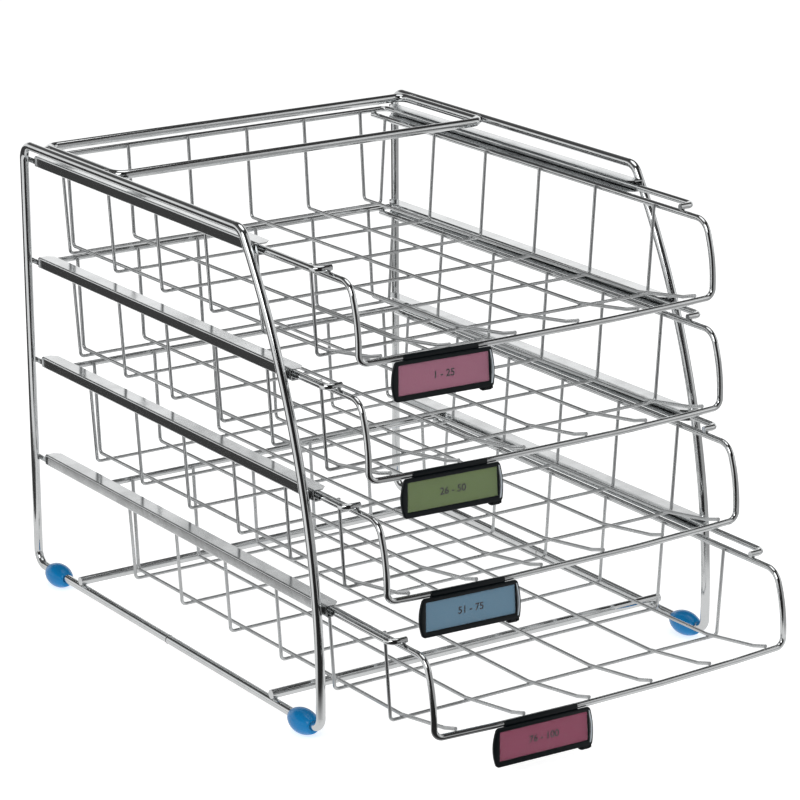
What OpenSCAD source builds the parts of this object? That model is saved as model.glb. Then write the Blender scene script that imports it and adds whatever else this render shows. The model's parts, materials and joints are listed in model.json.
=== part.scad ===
// Stack of four wire letter trays that run as drawers in a chromed wire stand.
// Two bent side frames are tied by a ring on top and two bars below, and stand on four olive feet.
// Each side frame carries four folded sheet runners, and the slide wires of a tray run in a pair of them.
// A tray is a bent hoop, a slide wire, six cross wires and six floor wires, all welded where they touch.
// A label holder is snapped on each tray's bowed front bar and swings on it.
//
// The drawing is set out with Y = 0 at the rear posts, the front towards -Y, X = 0 between the side
// frames and Z = 0 at the centre of the bottom rails. in_place() then moves it so that the origin lies
// on the floor under the middle of the stack.

/* [Stand] */
// Distance between the two side frames, wire centre to wire centre
frame_w = 300; // [260:1:360]
// Diameter of the side frame, ring and bar wire
frame_wire = 6; // [5:0.5:8]
// Height of the top rail above the bottom rail, centre to centre
frame_h = 298.4; // [285:0.1:340]
// Length of the top rail, from the rear post to where its line meets the front post
top_depth = 281.7; // [240:0.1:320]
// Length of the bottom rail, from the rear post to where its line meets the front post
base_depth = 365; // [340:0.5:400]
// Radius of the forward curve of the front post
front_bow_r = 507; // [400:1:900]
// Bend radius at the rear corners and at the top front corner, on the wire's centre line
corner_r = 10; // [6:0.5:20]
// Bend radius at the front foot, on the wire's centre line
toe_r = 8; // [5:0.5:14]

/* [Ring and bars] */
// Distance of the ring's rear bar from the rear posts
ring_start = 19; // [10:0.5:40]
// Depth of the ring, bar to bar
ring_depth = 98.4; // [60:0.1:160]
// Bend radius of the ring's corners
ring_corner_r = 8; // [5:0.5:20]
// Distance of the rear cross bar from the rear posts
rear_bar_y = 65.4; // [50:0.1:120]
// Distance of the front cross bar behind the front end of the bottom rail's line
front_bar_inset = 52.8; // [40:0.1:120]

/* [Feet] */
// Greatest diameter of a foot
foot_d = 18.6; // [14:0.1:24]
// Length of a foot along its rail
foot_len = 21; // [14:0.5:28]
// Diameter of a foot's end faces
foot_end_d = 10; // [8:0.5:12]
// Depth of the flat that a foot stands on
foot_flat = 0.3; // [0.1:0.05:0.8]
// Distance of the rear feet from the rear posts
rear_foot_y = 29.3; // [26:0.1:45]
// Distance of the front feet behind the front end of the bottom rail's line
front_foot_inset = 19.8; // [19:0.1:35]

/* [Runners] */
// Height of a runner's channel, outside
runner_h = 7.5; // [6.8:0.1:9]
// Width of a runner's flanges
runner_w = 10.5; // [9:0.1:11.5]
// Thickness of the runner's sheet
sheet = 0.8; // [0.6:0.1:1]
// Bend radius on the outside of the runner's folds
fold_r = 1.2; // [1:0.1:1.6]
// Drop from the top rail's centre to the centre of the top runners
top_runner_drop = 10.9; // [9.5:0.1:14]
// Distance from one tray to the next
level_pitch = 70.2; // [68:0.1:72]
// Distance from the rear posts to the rear end of the runners
runner_start = 9; // [6:0.5:15]
// Length by which the runners pass the middle of the front posts
runner_nose = 6; // [4:0.5:15]
// Size of the cut-off corners of the flanges
runner_corner = 4; // [2:0.5:6]
// Height of the tab that ties a runner to its rear post
tab_h = 3.6; // [2:0.1:5]

/* [Tray] */
// Diameter of the hoop wire and the slide wire
tray_wire = 4; // [3:0.1:4.2]
// Length of a tray, from its rear wire to the front of its hoop
tray_len = 386; // [360:1:400]
// Depth from the rim wire to the front cross wire under the floor
tray_depth = 57.5; // [50:0.5:58]
// Drop of the floor from the front cross wire to the rear one
floor_fall = 3; // [0:0.1:3.5]
// Depth from the rim wire to the front bar
front_drop = 48; // [40:0.5:50]
// Distance by which the hoop's front legs lean forward below the rim
front_lean = 8.7; // [4:0.1:10]
// Share of the front drop at which the lean turns into the vertical
lean_share = 0.49; // [0.44:0.01:0.56]
// Distance by which the front bar bows forward in the middle
bar_bow = 6.5; // [2:0.5:10]
// Bend radius at the front of the rim
front_bend_r = 11.5; // [8:0.5:14]
// Bend radius where the hoop turns into the front bar
bar_bend_r = 6; // [4:0.5:9]
// Bend radius of the slide wire's corners
slide_bend_r = 5.5; // [4:0.5:8]
// Distance of the slide wire's front ends behind the front of the hoop
slide_return = 32; // [28:0.5:40]
// Length by which the rim wire's rear ends pass the rear wire
rim_tail = 2.5; // [2:0.1:4]
// Distance of the rear wire behind the rear posts' centres, with the tray pushed home
home_overhang = 1; // [0:0.1:3]

/* [Grid wires] */
// Diameter of the cross wires
cross_wire = 2.2; // [1.8:0.1:2.6]
// Number of cross wires
cross_count = 6; // [5:1:8]
// Distance from one cross wire to the next
cross_pitch = 62.2; // [40:0.1:63.5]
// Distance of the rear cross wire from the rear wire
cross_start = 18; // [14:0.5:24]
// Distance by which a cross wire's legs lean in towards the floor
cross_lean = 4; // [2:0.5:6]
// Diameter of the floor wires
floor_wire = 2.4; // [2:0.1:2.8]
// Number of floor wires
floor_count = 6; // [4:1:8]
// Distance from one floor wire to the next
floor_pitch = 47.4; // [30:0.1:48]
// Distance by which a floor wire's rear leg leans forward towards the floor
floor_lean = 5; // [3:0.5:7]
// Angle at which a floor wire climbs over the front bar
floor_climb = 16; // [12:0.5:22]
// Length by which a grid wire's end stands over the wire it is welded to
wire_end = 1; // [0.5:0.1:1.4]
// Bend radius at the foot of a grid wire's leg
grid_bend_r = 3; // [2.5:0.5:4]
// Bend radius where a floor wire starts to climb and where it meets the front bar
climb_bend_r = 12; // [8:1:14]
// Length of the floor wire's front end before the front bar's axis
climb_run = 12; // [10:0.5:14]
// Length by which the floor wire's front end passes the front bar's axis
climb_tip = 0.5; // [0:0.1:1]

/* [Tray positions] */
// Distance that each tray is pulled out, from the top tray down
tray_out = [0, 10, 29, 78.5]; // [0:0.5:190]

/* [Labels] */
// Length of the clip on the front bar
clip_len = 54; // [40:0.5:56]
// Wall of the clip
clip_wall = 0.95; // [0.7:0.05:1.1]
// Distance of each clip's middle from the left side of its tray, from the top tray down
clip_inset = [54, 53.7, 53.8, 72.2]; // [52:0.1:75]
// Straight length of the bowed bar under a clip
clip_seat = 62; // [60:0.5:66]
// Bend radius where the bow meets the straight length under a clip
seat_bend_r = 100; // [60:5:120]
// Distance by which the label plate passes the left end of the clip, at its corners
label_left = 4.6; // [2:0.1:8]
// Distance by which the label plate passes the right end of the clip, at its corners
label_right = 10; // [4:0.1:14]
// Height of the label plate
label_h = 25; // [20:0.5:26]
// Thickness of the label plate
label_t = 2.4; // [2.2:0.1:3]
// Depth from the bar's centre to the top of the label plate
label_drop = 1; // [0.8:0.1:1.4]
// Bulge of the label plate's left side
left_bulge = 2.5; // [1:0.1:4]
// Bulge of the label plate's right side
right_bulge = 1.5; // [0.5:0.1:3]
// Border over the card
top_border = 2.4; // [1.5:0.1:4]
// Border under the card
bottom_border = 3.5; // [2:0.1:5]
// Border at the left end of the card, at the plate's corners
left_border = 1; // [0.8:0.1:2]
// Border at the right end of the card, at the plate's corners
right_border = 2; // [0.8:0.1:3]
// Thickness of the card
card_t = 0.4; // [0.2:0.05:0.5]
// Thickness of the clear window
window_t = 0.8; // [0.6:0.05:1]
// Width of the thumb tab under the plate
tab_w = 9; // [6:0.5:14]
// Depth of the thumb tab under the plate
tab_drop = 3.4; // [2:0.1:4]
// Distance of the thumb tab from the right corner of the plate
tab_inset = 1.5; // [1:0.1:6]

/* [Clearances] */
// Gap left between welded wires
weld_gap = 0.05; // [0.02:0.01:0.1]
// Gap under the slide wire in its runner
slide_gap = 0.3; // [0.2:0.05:0.5]
// Gap between the slide wire and the web of its runner
web_gap = 1.65; // [0.5:0.05:2]
// Gap between the rim wire and the edges of the runners
rim_gap = 1; // [0.6:0.05:2.5]
// Radial running gap of a clip on its bar
clip_gap = 0.05; // [0.02:0.01:0.1]
// Radial gap of a foot on its rail
foot_gap = 0.05; // [0.02:0.01:0.1]
// Gap round the card and the window in their pocket
pocket_gap = 0.1; // [0.05:0.05:0.3]

/* [Hidden] */
$fn = 40;
LEVELS = [1, 2, 3, 4];
GRID_KINDS = ["hoop", "slide_wire", "cross_wires", "floor_wires"];
LABEL_KINDS = ["holder", "card", "window"];

chrome = [0.78, 0.8, 0.81];
foot_blue = [0.05, 0.38, 0.62];
holder_black = [0.06, 0.07, 0.07];
clear = [0.85, 0.9, 0.92, 0.35];
card_colours = [[0.58, 0.36, 0.44], [0.36, 0.42, 0.24], [0.27, 0.4, 0.56], [0.56, 0.26, 0.36]];

frame_r = frame_wire / 2;
tray_r = tray_wire / 2;
cross_r = cross_wire / 2;
floor_r = floor_wire / 2;
front_bar_y = base_depth - front_bar_inset;
front_foot_y = base_depth - front_foot_inset;

// Runners: the web stands against the inner side of the posts
web_x = frame_w / 2 - frame_r - weld_gap;
mouth_x = web_x - runner_w;

// Trays: everything is worked out from the runners that carry them
slide_x = web_x - sheet - web_gap - tray_r;
rim_x = mouth_x - rim_gap - tray_r;
lap = 2 * tray_r + weld_gap;
cross_top_x = rim_x - tray_r - cross_r - weld_gap;
floor_lift = cross_r + floor_r + weld_gap;
bar_bow_r = (rim_x * rim_x + bar_bow * bar_bow) / (2 * bar_bow);
clip_x = [for (inset = clip_inset) rim_x - inset];
cross_span = (cross_count - 1) * cross_pitch;

// Hoop legs: they lean forward from the rim, and one long bend fills the shorter of the two stretches
lean_drop = lean_share * front_drop;
lean_turn = atan(front_lean / lean_drop);
lean_fill = 0.95;
lean_above = norm([front_lean, lean_drop]) - front_bend_r * tan((90 - lean_turn) / 2);
lean_below = front_drop - lean_drop - bar_bend_r;
lean_bend_r = lean_fill * min(lean_above, lean_below) / tan(lean_turn / 2);

// Label plate, measured from the middle of the clip and the bar's axis
clip_bore = tray_r + clip_gap;
clip_r = clip_bore + clip_wall;
plate_tuck = 0.1;
plate_back = clip_bore - plate_tuck;
plate_x0 = -clip_len / 2 - label_left;
plate_x1 = clip_len / 2 + label_right;
plate_z1 = -label_drop;
plate_z0 = -label_drop - label_h;
pocket_x0 = plate_x0 + left_border;
pocket_x1 = plate_x1 - right_border;
pocket_z0 = plate_z0 + bottom_border;
pocket_z1 = plate_z1 - top_border;
pocket_t = card_t + window_t;
// The clip's slit runs from behind the bar to its top, so that a floor wire's end fits in it
slit_from = -40;
slit_step = 40;
slit_to = 120;
tab_root = 1;
foot_facets = 96;
plate_facets = 120;
cut_over = 1;

// Heights, and the places of the trays
function runner_z(i) = frame_h - top_runner_drop - (i - 1) * level_pitch;
function slide_z(i) = runner_z(i) - runner_h / 2 + sheet + slide_gap + tray_r;
function rim_z(i) = slide_z(i) - lap;
function bar_z(i) = rim_z(i) - front_drop;
function rear_y(i) = home_overhang - tray_out[i - 1];
function front_y(i) = rear_y(i) - tray_len;
// Cross wire k of tray i, counted from the rear, and the depth of the floor's line at a distance y
function cross_y(i, k) = rear_y(i) - cross_start - k * cross_pitch;
function fall_at(i, y) = floor_fall * (y - cross_y(i, cross_count - 1)) / cross_span;
function cross_z(i, y) = rim_z(i) - tray_depth - fall_at(i, y);
function floor_z(i, y) = cross_z(i, y) + floor_lift;

// Forward reach of the bowed bar at a distance x from its middle
function bow_at(x) = bar_bow - bar_bow_r + sqrt(bar_bow_r * bar_bow_r - x * x);
// Straight stretch of tray i's bar under its clip: its outer and inner ends
function seat_out(i) = clip_x[i - 1] + clip_seat / 2;
function seat_in(i) = clip_x[i - 1] - clip_seat / 2;
// The bar's line as [x, forward reach] from left to right
function bar_line(i) = [
    [-rim_x, 0],
    [-seat_out(i), bow_at(seat_out(i))],
    [-seat_in(i), bow_at(seat_in(i))],
    [seat_in(i), bow_at(seat_in(i))],
    [seat_out(i), bow_at(seat_out(i))],
    [rim_x, 0]
];
function bar_y(i, x) = front_y(i) - lookup(x, bar_line(i));
// Angle by which the seat turns forward, and so the label with it
function seat_angle(i) =
    atan((bow_at(seat_in(i)) - bow_at(seat_out(i))) / clip_seat);

// Front post: a circle through the two front corners, with its centre behind the post
post_chord = [base_depth - top_depth, -frame_h];
post_n = [frame_h, post_chord.x] / norm(post_chord);
post_back = sqrt(front_bow_r * front_bow_r - pow(norm(post_chord) / 2, 2));
post_c = [top_depth, frame_h] + post_chord / 2 - post_n * post_back;
function post_reach(z, inset) = post_c.x + sqrt(pow(front_bow_r - inset, 2) - pow(z - post_c.y, 2));
brow_c = [post_reach(frame_h - corner_r, corner_r), frame_h - corner_r];
toe_c = [post_reach(toe_r, toe_r), toe_r];
brow_angle = atan2(brow_c.y - post_c.y, brow_c.x - post_c.x);
toe_angle = atan2(toe_c.y - post_c.y, toe_c.x - post_c.x);

// Origin: on the floor, under the middle of the stack as it stands
base_h = foot_d / 2 - foot_flat;
rear_reach = max([frame_r, for (i = LEVELS) rear_y(i) + rim_tail]);
front_reach = max([for (i = LEVELS)
    -bar_y(i, -clip_x[i - 1]) + (plate_x1 + right_bulge / 2) * sin(seat_angle(i))
    + (plate_back + label_t) * cos(seat_angle(i))]);
mid_y = (front_reach - rear_reach) / 2;

module in_place() {
    translate([0, mid_y, base_h]) children();
}

// ---- Bent wire ----

// A bend is fatter than the straight wire by a hair, and the straight wire reaches a little into it
bend_swell = 0.04;
bend_bite = 0.2;

function unit(v) = v / norm(v);
function turn_at(path, k) =
    acos(max(-1, min(1, unit(path[k] - path[k - 1]) * unit(path[k + 1] - path[k]))));
// Length that the bend at point k takes from each of its two legs
function setback(path, bends, k) = bends[k - 1] * tan(turn_at(path, k) / 2);

// A straight round rod from p to q
module rod(p, q, d) {
    v = q - p;
    translate(p)
        rotate([0, acos(v.z / norm(v)), atan2(v.y, v.x)])
            cylinder(h = norm(v), d = d);
}

// The bend at point k of a path: a piece of a ring that is tangent to both legs, and swells a little
module bend(path, k, r, d) {
    u = unit(path[k] - path[k - 1]);
    v = unit(path[k + 1] - path[k]);
    n = unit(v - (u * v) * u);
    w = cross(u, n);
    angle = turn_at(path, k);
    c = path[k] - u * (r * tan(angle / 2)) + n * r;
    multmatrix([[-n.x, u.x, w.x, c.x], [-n.y, u.y, w.y, c.y], [-n.z, u.z, w.z, c.z], [0, 0, 0, 1]])
        rotate_extrude(angle = angle)
            translate([r, 0]) circle(d = d + bend_swell);
}

// A round wire along a path of points, bent at each inner point to the radius in bends
module bent_wire(path, bends, d) {
    union() {
        for (k = [0 : len(path) - 2]) {
            u = unit(path[k + 1] - path[k]);
            from = k == 0 ? 0 : setback(path, bends, k) - bend_bite;
            to = k == len(path) - 2 ? 0 : setback(path, bends, k + 1) - bend_bite;
            rod(path[k] + u * from, path[k + 1] - u * to, d);
        }
        for (k = [1 : len(path) - 2])
            bend(path, k, bends[k - 1], d);
    }
}

// ---- Stand ----

// Draws in a side frame's own plane, where x runs forward and y runs up
module side_plane(side) {
    translate([side * frame_w / 2, 0, 0])
        rotate([90, 0, -90])
            children();
}

module side_arc(c, r, from, to, d) {
    translate([c.x, c.y, 0])
        rotate([0, 0, from])
            rotate_extrude(angle = to - from)
                translate([r, 0]) circle(d = d);
}

module side_frame(side) {
    near = corner_r - bend_bite;
    bend_d = frame_wire + bend_swell;
    post_bite = bend_bite / front_bow_r * 180 / PI;
    color(chrome)
    in_place()
    side_plane(side)
    union() {
        rod([near, frame_h, 0], [brow_c.x + bend_bite, frame_h, 0], frame_wire);
        rod([near, 0, 0], [toe_c.x + bend_bite, 0, 0], frame_wire);
        rod([0, near, 0], [0, frame_h - near, 0], frame_wire);
        side_arc(post_c, front_bow_r, toe_angle - post_bite, brow_angle + post_bite, frame_wire);
        side_arc(brow_c, corner_r, brow_angle, 90, bend_d);
        side_arc(toe_c, toe_r, -90, toe_angle, bend_d);
        side_arc([corner_r, corner_r], corner_r, 180, 270, bend_d);
        side_arc([corner_r, frame_h - corner_r], corner_r, 90, 180, bend_d);
    }
}

// The closed ring lies between the top rails and is welded to them along its legs
module brace_ring() {
    x = frame_w / 2 - frame_wire - weld_gap;
    y0 = -ring_start;
    y1 = -ring_start - ring_depth;
    color(chrome)
    in_place()
    bent_wire([
        [0, y0, frame_h], [x, y0, frame_h], [x, y1, frame_h],
        [-x, y1, frame_h], [-x, y0, frame_h], [0, y0, frame_h]
    ], [ring_corner_r, ring_corner_r, ring_corner_r, ring_corner_r], frame_wire);
}

// A straight bar that lies on both bottom rails
module cross_bar(y) {
    x = frame_w / 2 + frame_r;
    z = frame_wire + weld_gap;
    color(chrome)
    in_place()
    rod([-x, -y, z], [x, -y, z], frame_wire);
}

// An olive moulded round the rail: an arc turned round the rail's axis, with a flat below
module foot(side, y) {
    rise = (foot_d - foot_end_d) / 2;
    r = (foot_len * foot_len / 4 + rise * rise) / (2 * rise);
    bore = frame_wire + 2 * foot_gap;
    color(foot_blue)
    in_place()
    translate([side * frame_w / 2, -y, 0])
    difference() {
        rotate([90, 0, 0])
            rotate_extrude()
                intersection() {
                    translate([foot_d / 2 - r, 0]) circle(r = r, $fn = foot_facets);
                    translate([bore / 2, -foot_len / 2]) square([foot_d, foot_len]);
                }
        translate([-foot_d, -foot_len, -base_h - foot_d])
            cube([2 * foot_d, 2 * foot_len, foot_d]);
    }
}

// Section of a runner: a channel that is open towards the middle of the stand.
// x runs from the web towards the mouth.
module runner_section() {
    inner = fold_r - sheet;
    difference() {
        union() {
            translate([fold_r, 0]) square([runner_w - fold_r, runner_h]);
            translate([0, fold_r]) square([fold_r, runner_h - 2 * fold_r]);
            for (y = [fold_r, runner_h - fold_r])
                translate([fold_r, y]) circle(r = fold_r);
        }
        translate([fold_r, sheet]) square([runner_w, runner_h - 2 * sheet]);
        translate([sheet, fold_r]) square([runner_w, runner_h - 2 * fold_r]);
        for (y = [fold_r, runner_h - fold_r])
            translate([fold_r, y]) circle(r = inner);
    }
}

// Cuts the free corner off both flanges at one end of a runner
module corner_cut(y, towards) {
    translate([runner_w, y, -runner_h])
        linear_extrude(height = 3 * runner_h)
            polygon([
                [-runner_corner, -towards * cut_over], [-runner_corner, 0],
                [0, towards * runner_corner], [cut_over, towards * runner_corner],
                [cut_over, -towards * cut_over]
            ]);
}

// Runner of level i, drawn for the left side with x towards the middle, and mirrored to the right
module runner(i, side) {
    z = runner_z(i);
    nose_y = -post_reach(z, 0) - runner_nose;
    color(chrome)
    in_place()
    mirror([side > 0 ? 1 : 0, 0, 0])
    translate([-web_x, 0, z - runner_h / 2])
    union() {
        difference() {
            translate([0, -runner_start, 0])
                rotate([90, 0, 0])
                    linear_extrude(height = -nose_y - runner_start) runner_section();
            corner_cut(-runner_start, -1);
            corner_cut(nose_y, 1);
        }
        translate([0, -runner_start, (runner_h - tab_h) / 2])
            cube([sheet, runner_start + frame_r / 2, tab_h]);
    }
}

// ---- Trays ----

// Rim, front and front bar are one wire, with both ends under the rear wire
module tray_hoop(i) {
    z = rim_z(i);
    zb = bar_z(i);
    y0 = rear_y(i) + rim_tail;
    y1 = front_y(i);
    left = [[-rim_x, y0, z], [-rim_x, y1 + front_lean, z], [-rim_x, y1, z - lean_drop]];
    right = [[rim_x, y1, z - lean_drop], [rim_x, y1 + front_lean, z], [rim_x, y0, z]];
    bar = [for (p = bar_line(i)) [p.x, y1 - p.y, zb]];
    leg = [front_bend_r, lean_bend_r, bar_bend_r];
    color(chrome)
    in_place()
    bent_wire(
        concat(left, bar, right),
        concat(leg, [for (k = [1 : 4]) seat_bend_r], [leg.z, leg.y, leg.x]),
        tray_wire
    );
}

// Slides and rear wire are one wire, with its front ends bent in over the rim
module tray_slide_wire(i) {
    z = slide_z(i);
    y0 = rear_y(i);
    y1 = front_y(i) + slide_return;
    end_x = rim_x - tray_r;
    r = slide_bend_r;
    color(chrome)
    in_place()
    bent_wire([
        [-end_x, y1, z], [-slide_x, y1, z], [-slide_x, y0, z],
        [slide_x, y0, z], [slide_x, y1, z], [end_x, y1, z]
    ], [r, r, r, r], tray_wire);
}

// Each cross wire runs down inside the rim, under the floor and up again
module tray_cross_wires(i) {
    z1 = rim_z(i) + wire_end;
    x1 = cross_top_x;
    x0 = cross_top_x - cross_lean;
    r = grid_bend_r;
    color(chrome)
    in_place()
    for (k = [0 : cross_count - 1]) {
        y = cross_y(i, k);
        z0 = cross_z(i, y);
        bent_wire([[-x1, y, z1], [-x0, y, z0], [x0, y, z0], [x1, y, z1]], [r, r], cross_wire);
    }
}

// Each floor wire runs down before the rear wire, over the cross wires and up on the front bar
module tray_floor_wires(i) {
    off = tray_r + floor_r + weld_gap;
    back = [0, cos(floor_climb), -sin(floor_climb)];
    up = [0, sin(floor_climb), cos(floor_climb)];
    rear_top = rear_y(i) - off;
    rear_foot = rear_top - floor_lean;
    last_cross = cross_y(i, cross_count - 1);
    color(chrome)
    in_place()
    for (k = [0 : floor_count - 1]) {
        x = (k - (floor_count - 1) / 2) * floor_pitch;
        seat = [x, bar_y(i, x), bar_z(i)] + up * off;
        bent_wire([
            [x, rear_top, slide_z(i) + wire_end],
            [x, rear_foot, floor_z(i, rear_foot)],
            [x, last_cross, floor_z(i, last_cross)],
            seat + back * climb_run,
            seat - back * climb_tip
        ], [grid_bend_r, climb_bend_r, climb_bend_r], floor_wire);
    }
}

// ---- Labels ----

// Draws in the frame of tray i's clip: x along the bar, y backwards, z up, and 0 on the bar's axis
module clip_frame(i) {
    x = -clip_x[i - 1];
    in_place()
    translate([x, bar_y(i, x), bar_z(i)])
        rotate([0, 0, -seat_angle(i)])
            children();
}

// A flat piece that stands upright, drawn in x and z, from y = -back forward
module upright(back, t) {
    translate([0, -back, 0])
        rotate([90, 0, 0])
            linear_extrude(height = t) children();
}

// The bulging side of the plate: the part of a circle beyond x, towards sign
module bulge(x, s, sign) {
    r = (label_h * label_h / 4 + s * s) / (2 * s);
    intersection() {
        translate([x + sign * (s - r), (plate_z0 + plate_z1) / 2]) circle(r = r, $fn = plate_facets);
        translate([sign > 0 ? x - cut_over : x - s - cut_over, plate_z0])
            square([s + 2 * cut_over, label_h]);
    }
}

module plate_outline() {
    translate([plate_x0, plate_z0]) square([plate_x1 - plate_x0, label_h]);
    bulge(plate_x0, left_bulge, -1);
    bulge(plate_x1, right_bulge, 1);
}

module pocket_outline(gap) {
    translate([pocket_x0 + gap, pocket_z0 + gap])
        square([pocket_x1 - pocket_x0 - 2 * gap, pocket_z1 - pocket_z0 - 2 * gap]);
}

// Section of the clip: a split tube, with x backwards and y up
module clip_section() {
    far = 2 * clip_r;
    difference() {
        circle(r = clip_r);
        circle(r = clip_bore);
        polygon(concat([[0, 0]], [for (a = [slit_from : slit_step : slit_to]) far * [cos(a), sin(a)]]));
    }
}

module label_holder(i) {
    tab_x1 = plate_x1 - tab_inset;
    color(holder_black)
    clip_frame(i)
    union() {
        translate([-clip_len / 2, 0, 0])
            rotate([90, 0, 90])
                linear_extrude(height = clip_len) clip_section();
        difference() {
            union() {
                upright(plate_back, label_t) plate_outline();
                upright(plate_back, label_t)
                    translate([tab_x1 - tab_w, plate_z0 - tab_drop]) square([tab_w, tab_drop + tab_root]);
            }
            upright(plate_back + label_t - pocket_t, 2 * pocket_t) pocket_outline(0);
        }
    }
}

module label_card(i) {
    color(card_colours[i - 1])
    clip_frame(i)
    upright(plate_back + label_t - pocket_t, card_t) pocket_outline(pocket_gap);
}

module label_window(i) {
    color(clear)
    clip_frame(i)
    upright(plate_back + label_t - window_t, window_t) pocket_outline(pocket_gap);
}

// ---- Nodes ----

side_frame(-1);  // side_frame_left
side_frame(1);  // side_frame_right
brace_ring();
cross_bar(rear_bar_y);  // cross_bar_rear
cross_bar(front_bar_y);  // cross_bar_front
foot(-1, rear_foot_y);  // foot_rear_left
foot(1, rear_foot_y);  // foot_rear_right
foot(-1, front_foot_y);  // foot_front_left
foot(1, front_foot_y);  // foot_front_right
for (i = LEVELS) {
    runner(i, -1);
    runner(i, 1);
    tray_hoop(i);
    tray_slide_wire(i);
    tray_cross_wires(i);
    tray_floor_wires(i);
    label_holder(i);
    label_card(i);
    label_window(i);
}
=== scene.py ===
"""Dresses the letter tray stack: chromed wire and sheet, welds, olive feet, label holders, studio.

It is laid out as an add-on and is run as a script. All lengths are in metres, in the frame's axes.
"""
import json
import math

import bmesh
import bpy
import numpy as np
from bpy.props import FloatProperty, FloatVectorProperty, IntProperty, PointerProperty
from bpy.types import Operator, Panel, PropertyGroup
from mathutils import Matrix, Vector


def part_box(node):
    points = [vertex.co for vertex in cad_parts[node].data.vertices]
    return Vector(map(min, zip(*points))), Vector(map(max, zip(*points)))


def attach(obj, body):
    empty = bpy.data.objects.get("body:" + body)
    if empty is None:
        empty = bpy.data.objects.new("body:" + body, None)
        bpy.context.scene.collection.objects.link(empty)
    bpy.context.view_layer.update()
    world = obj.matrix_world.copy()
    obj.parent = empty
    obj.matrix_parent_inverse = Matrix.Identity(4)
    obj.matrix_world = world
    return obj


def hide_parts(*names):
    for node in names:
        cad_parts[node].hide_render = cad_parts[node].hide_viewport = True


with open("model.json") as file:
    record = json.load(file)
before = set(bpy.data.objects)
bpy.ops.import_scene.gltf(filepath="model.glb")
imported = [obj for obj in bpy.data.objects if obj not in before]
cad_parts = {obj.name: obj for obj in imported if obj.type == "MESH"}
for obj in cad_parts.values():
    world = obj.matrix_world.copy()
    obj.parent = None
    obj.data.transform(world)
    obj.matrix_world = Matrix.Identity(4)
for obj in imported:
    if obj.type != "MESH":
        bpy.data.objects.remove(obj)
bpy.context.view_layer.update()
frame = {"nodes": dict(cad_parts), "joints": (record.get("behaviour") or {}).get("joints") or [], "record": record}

bl_info = {
    "name": "Letter Tray Stack",
    "version": (1, 0, 0),
    "blender": (4, 5, 0),
    "location": "3D View > Sidebar > Letter Trays",
    "description": "Finishes, welds, feet, label holders and studio for a wire letter tray stack",
    "category": "Object",
}

MM = 0.001
LEVELS = (1, 2, 3, 4)
SIDES = ((-1, "left"), (1, "right"))

# The camera: the way it looks, its roll, and its place from the rear posts and the bottom rails.
VIEW = (0.532, 0.7939, -0.2943)
ROLL = math.radians(-0.186)
CAMERA_FROM = (-1.1640, -1.9665, 0.7943)

# Ways in which parts of the studio lie, seen from the object.
CAMERA_SIDE = (-VIEW[0], -VIEW[1], 0.0)
DARK_OPENING = (-VIEW[0], -VIEW[1], 0.24)
LEFT_WALL = (-0.97, 0.24, 0.0)
REAR_WALL = (0.556, 0.831, 0.0)


# ---- Sizes and colours ----

def length(name, description, default):
    """A length property whose default is given in millimetres."""
    return FloatProperty(name=name, description=description, default=default * MM, min=0.0,
                         precision=5, unit="LENGTH", subtype="DISTANCE")


def colour(name, description, default):
    """A colour property with linear red, green and blue."""
    return FloatVectorProperty(name=name, description=description, default=default, size=3,
                               min=0.0, max=1.0, subtype="COLOR")


class StandSizes(PropertyGroup):
    """Sizes of the stand and its feet."""
    frame_wire: length("Frame wire", "Diameter of the side frame, ring and bar wire", 6.0)
    weld_gap: length("Weld gap", "Gap between two welded wires", 0.05)
    weld_bead: length("Weld bead", "Half length of the beads along the ring's ends", 4.0)
    notch_y: length("Ring butt weld", "Distance of the ring's butt weld from the rear posts", 68.0)
    rail_notch_y: length("Rail butt weld", "Distance of a side frame's butt weld, on its bottom "
                         "rail, from the rear post", 181.0)
    foot_d: length("Foot diameter", "Greatest diameter of a foot", 16.2)
    foot_len: length("Foot length", "Length of a foot along its rail", 24.0)
    foot_end_d: length("Foot end", "Diameter of a foot's end faces", 8.8)
    foot_flat: length("Foot flat", "Depth of the flat that a foot stands on", 0.15)
    foot_bore: length("Foot bore", "Diameter of the bore round the rail", 6.1)


class TraySizes(PropertyGroup):
    """Sizes of the wire trays that the weld fillets are placed by."""
    tray_wire: length("Tray wire", "Diameter of the hoop and the slide wire", 4.0)
    cross_wire: length("Cross wire", "Diameter of the cross wires", 2.2)
    floor_wire: length("Floor wire", "Diameter of the floor wires", 2.4)
    floor_fall: length("Floor fall", "Drop of the floor from the first cross wire to the last", 3.0)
    bar_bow: length("Bar bow", "Distance by which the front bar bows forward in the middle", 6.5)
    clip_seat: length("Clip seat", "Straight length of the bowed bar under a clip", 62.0)
    wires: IntProperty(name="Grid wires", description="Number of floor wires and of cross wires",
                       default=6, min=2, max=10)
    climb: FloatProperty(name="Climb", description="Angle at which a floor wire climbs the bar",
                         default=math.radians(16), subtype="ANGLE", unit="ROTATION")
    fillet: FloatProperty(name="Fillet share", description="Radius of a weld fillet as a share of "
                          "the thinner wire's radius", default=0.86, min=0.3, max=0.95)
    bar_fillet: FloatProperty(name="Bar fillet share", description="The same for the welds on the "
                              "front bar, which a clip turns past", default=0.5, min=0.3, max=0.95)


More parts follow.
